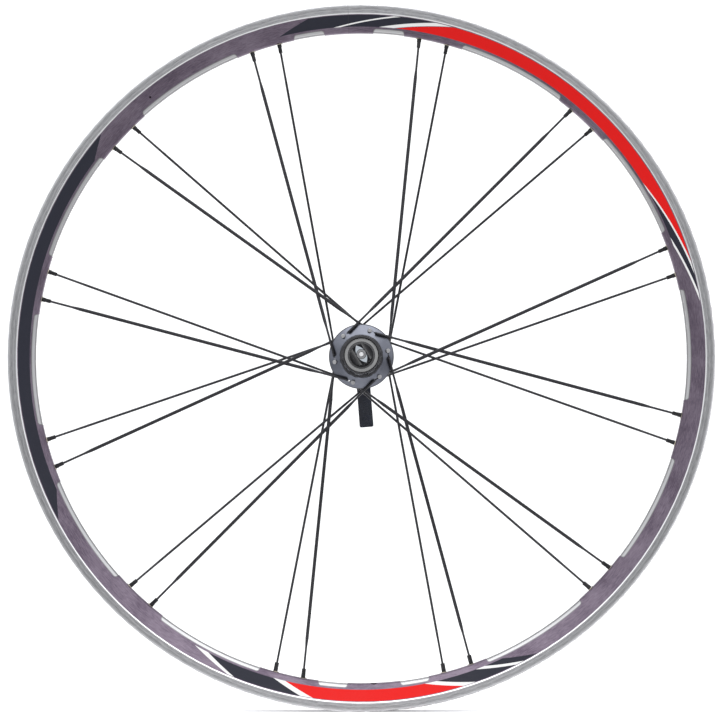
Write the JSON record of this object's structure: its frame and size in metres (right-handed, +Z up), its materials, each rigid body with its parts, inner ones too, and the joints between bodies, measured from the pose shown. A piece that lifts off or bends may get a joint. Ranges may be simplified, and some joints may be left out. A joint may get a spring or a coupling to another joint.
{
  "type": "road bicycle rear wheel",
  "caption": "Spoked rear wheel for a road bicycle: hollow clincher rim, paired bladed spokes, cassette hub with freewheel, and a quick-release skewer with a lever.",
  "frame": {"origin": "the wheel's centre: the axle's axis in the middle plane of the rim", "axes": "+Y along the axle to the left (lever) side, so the drive side faces -Y; +Z up, with the lever hanging down"},
  "size_m": [0.634, 0.176, 0.634],
  "materials": {
    "rim_anodised": "anodised sidewalls with machined brake tracks",
    "rim_tape": "smooth woven nylon",
    "eyelet_steel": "pressed stainless",
    "spoke_black": "black oxide, satin",
    "nipple_black": "black anodised",
    "hub_gunmetal": "satin anodised",
    "freehub_steel": "dark plated",
    "bearing_steel": "ground",
    "ball_steel": "polished",
    "ratchet_steel": "hardened",
    "spring_steel": "drawn wire",
    "rubber_black": "moulded",
    "axle_alloy": "turned",
    "cap_black": "black anodised with a knurled face",
    "skewer_steel": "plated rod",
    "nut_black": "gloss black",
    "insert_steel": "turned",
    "lever_black": "satin black",
    "housing_black": "satin black"
  },
  "bodies": {
    "axle_assembly": {"axle": "axle_alloy", "axle_sleeve": "axle_alloy", "freehub_bearing_spacer": "axle_alloy", "end_cap_drive": "cap_black", "end_cap_left": "cap_black", "hub_bearing_drive_inner_race": "bearing_steel", "hub_bearing_left_inner_race": "bearing_steel", "freehub_inner_bearing_inner_race": "bearing_steel", "freehub_outer_bearing_inner_race": "bearing_steel"},
    "wheel": {"rim": "rim_anodised", "rim_tape": "rim_tape", "rim_eyelets": "eyelet_steel", "spoke_drive_in_1": "spoke_black", "spoke_drive_in_2": "spoke_black", "spoke_drive_in_3": "spoke_black", "spoke_drive_in_4": "spoke_black", "spoke_drive_in_5": "spoke_black", "spoke_drive_in_6": "spoke_black", "spoke_drive_out_1": "spoke_black", "spoke_drive_out_2": "spoke_black", "spoke_drive_out_3": "spoke_black", "spoke_drive_out_4": "spoke_black", "spoke_drive_out_5": "spoke_black", "spoke_drive_out_6": "spoke_black", "spoke_left_in_1": "spoke_black", "spoke_left_in_2": "spoke_black", "spoke_left_in_3": "spoke_black", "spoke_left_in_4": "spoke_black", "spoke_left_in_5": "spoke_black", "spoke_left_in_6": "spoke_black", "spoke_left_out_1": "spoke_black", "spoke_left_out_2": "spoke_black", "spoke_left_out_3": "spoke_black", "spoke_left_out_4": "spoke_black", "spoke_left_out_5": "spoke_black", "spoke_left_out_6": "spoke_black", "spoke_nipples": "nipple_black", "hub_shell": "hub_gunmetal", "hub_bearing_drive_outer_race": "bearing_steel", "hub_bearing_left_outer_race": "bearing_steel", "ratchet_ring_nut": "ratchet_steel", "hub_ratchet_spring": "spring_steel"},
    "hub_balls": {"hub_bearing_balls": "ball_steel"},
    "hub_ratchet": {"hub_ratchet": "ratchet_steel"},
    "freehub": {"freehub_body": "freehub_steel", "freehub_seal": "rubber_black", "freehub_inner_bearing_outer_race": "bearing_steel", "freehub_outer_bearing_outer_race": "bearing_steel", "freehub_bearing_seals": "rubber_black", "freehub_ratchet_spring": "spring_steel"},
    "freehub_balls": {"freehub_bearing_balls": "ball_steel"},
    "freehub_ratchet": {"freehub_ratchet": "ratchet_steel"},
    "skewer_housing": {"cam_housing": "housing_black", "skewer_spring_left": "spring_steel"},
    "lever": {"qr_lever": "lever_black", "cam_shaft": "skewer_steel"},
    "skewer_rod": {"skewer_rod": "skewer_steel"},
    "drive_spring": {"skewer_spring_drive": "spring_steel"},
    "nut": {"qr_nut": "nut_black", "qr_nut_insert": "insert_steel"}
  },
  "joints": [
    {"name": "wheel_spin", "type": "hinge", "parent": "axle_assembly", "child": "wheel", "pos_m": [0, 0, 0], "axis": [0, 1, 0], "continuous": true},
    {"name": "hub_balls_spin", "type": "hinge", "parent": "axle_assembly", "child": "hub_balls", "pos_m": [0, 0.02, 0], "axis": [0, 1, 0], "continuous": true},
    {"name": "hub_ratchet_slide", "type": "slide", "parent": "wheel", "child": "hub_ratchet", "axis": [0, 1, 0], "range_m": [0, 0.0008], "stiffness_N_per_m": 1500, "springref_m": -0.002, "deforming": ["hub_ratchet_spring"]},
    {"name": "freehub_spin", "type": "hinge", "parent": "axle_assembly", "child": "freehub", "pos_m": [0, -0.042, 0], "axis": [0, 1, 0], "continuous": true},
    {"name": "freehub_balls_spin", "type": "hinge", "parent": "axle_assembly", "child": "freehub_balls", "pos_m": [0, -0.042, 0], "axis": [0, 1, 0], "continuous": true},
    {"name": "freehub_ratchet_slide", "type": "slide", "parent": "freehub", "child": "freehub_ratchet", "axis": [0, -1, 0], "range_m": [0, 0.0008], "stiffness_N_per_m": 1500, "springref_m": -0.002, "deforming": ["freehub_ratchet_spring"]},
    {"name": "skewer_turn", "type": "hinge", "parent": "axle_assembly", "child": "skewer_housing", "pos_m": [0, 0.072, 0], "axis": [0, 1, 0], "continuous": true},
    {"name": "lever_open", "type": "hinge", "parent": "skewer_housing", "child": "lever", "pos_m": [0, 0.081, 0], "axis": [0.9969, 0, 0.0785], "range_deg": [0, 180]},
    {"name": "rod_slide", "type": "slide", "parent": "skewer_housing", "child": "skewer_rod", "axis": [0, 1, 0], "range_m": [-0.0015, 0], "deforming": ["skewer_spring_left"]},
    {"name": "nut_slide", "type": "slide", "parent": "skewer_rod", "child": "drive_spring", "axis": [0, 1, 0], "range_m": [-0.0032, 0], "deforming": ["skewer_spring_drive"]},
    {"name": "nut_turn", "type": "hinge", "parent": "drive_spring", "child": "nut", "pos_m": [0, -0.078, 0], "axis": [0, 1, 0], "range_deg": [-1440, 0]}
  ],
  "couplings": [
    {"joint": "hub_balls_spin", "follows": "wheel_spin", "ratio": 0.5921},
    {"joint": "freehub_balls_spin", "follows": "freehub_spin", "ratio": 0.561},
    {"joint": "rod_slide", "follows": "lever_open", "m_per_rad": -0.00047746},
    {"joint": "nut_slide", "follows": "nut_turn", "m_per_rad": 0.00012732}
  ]
}
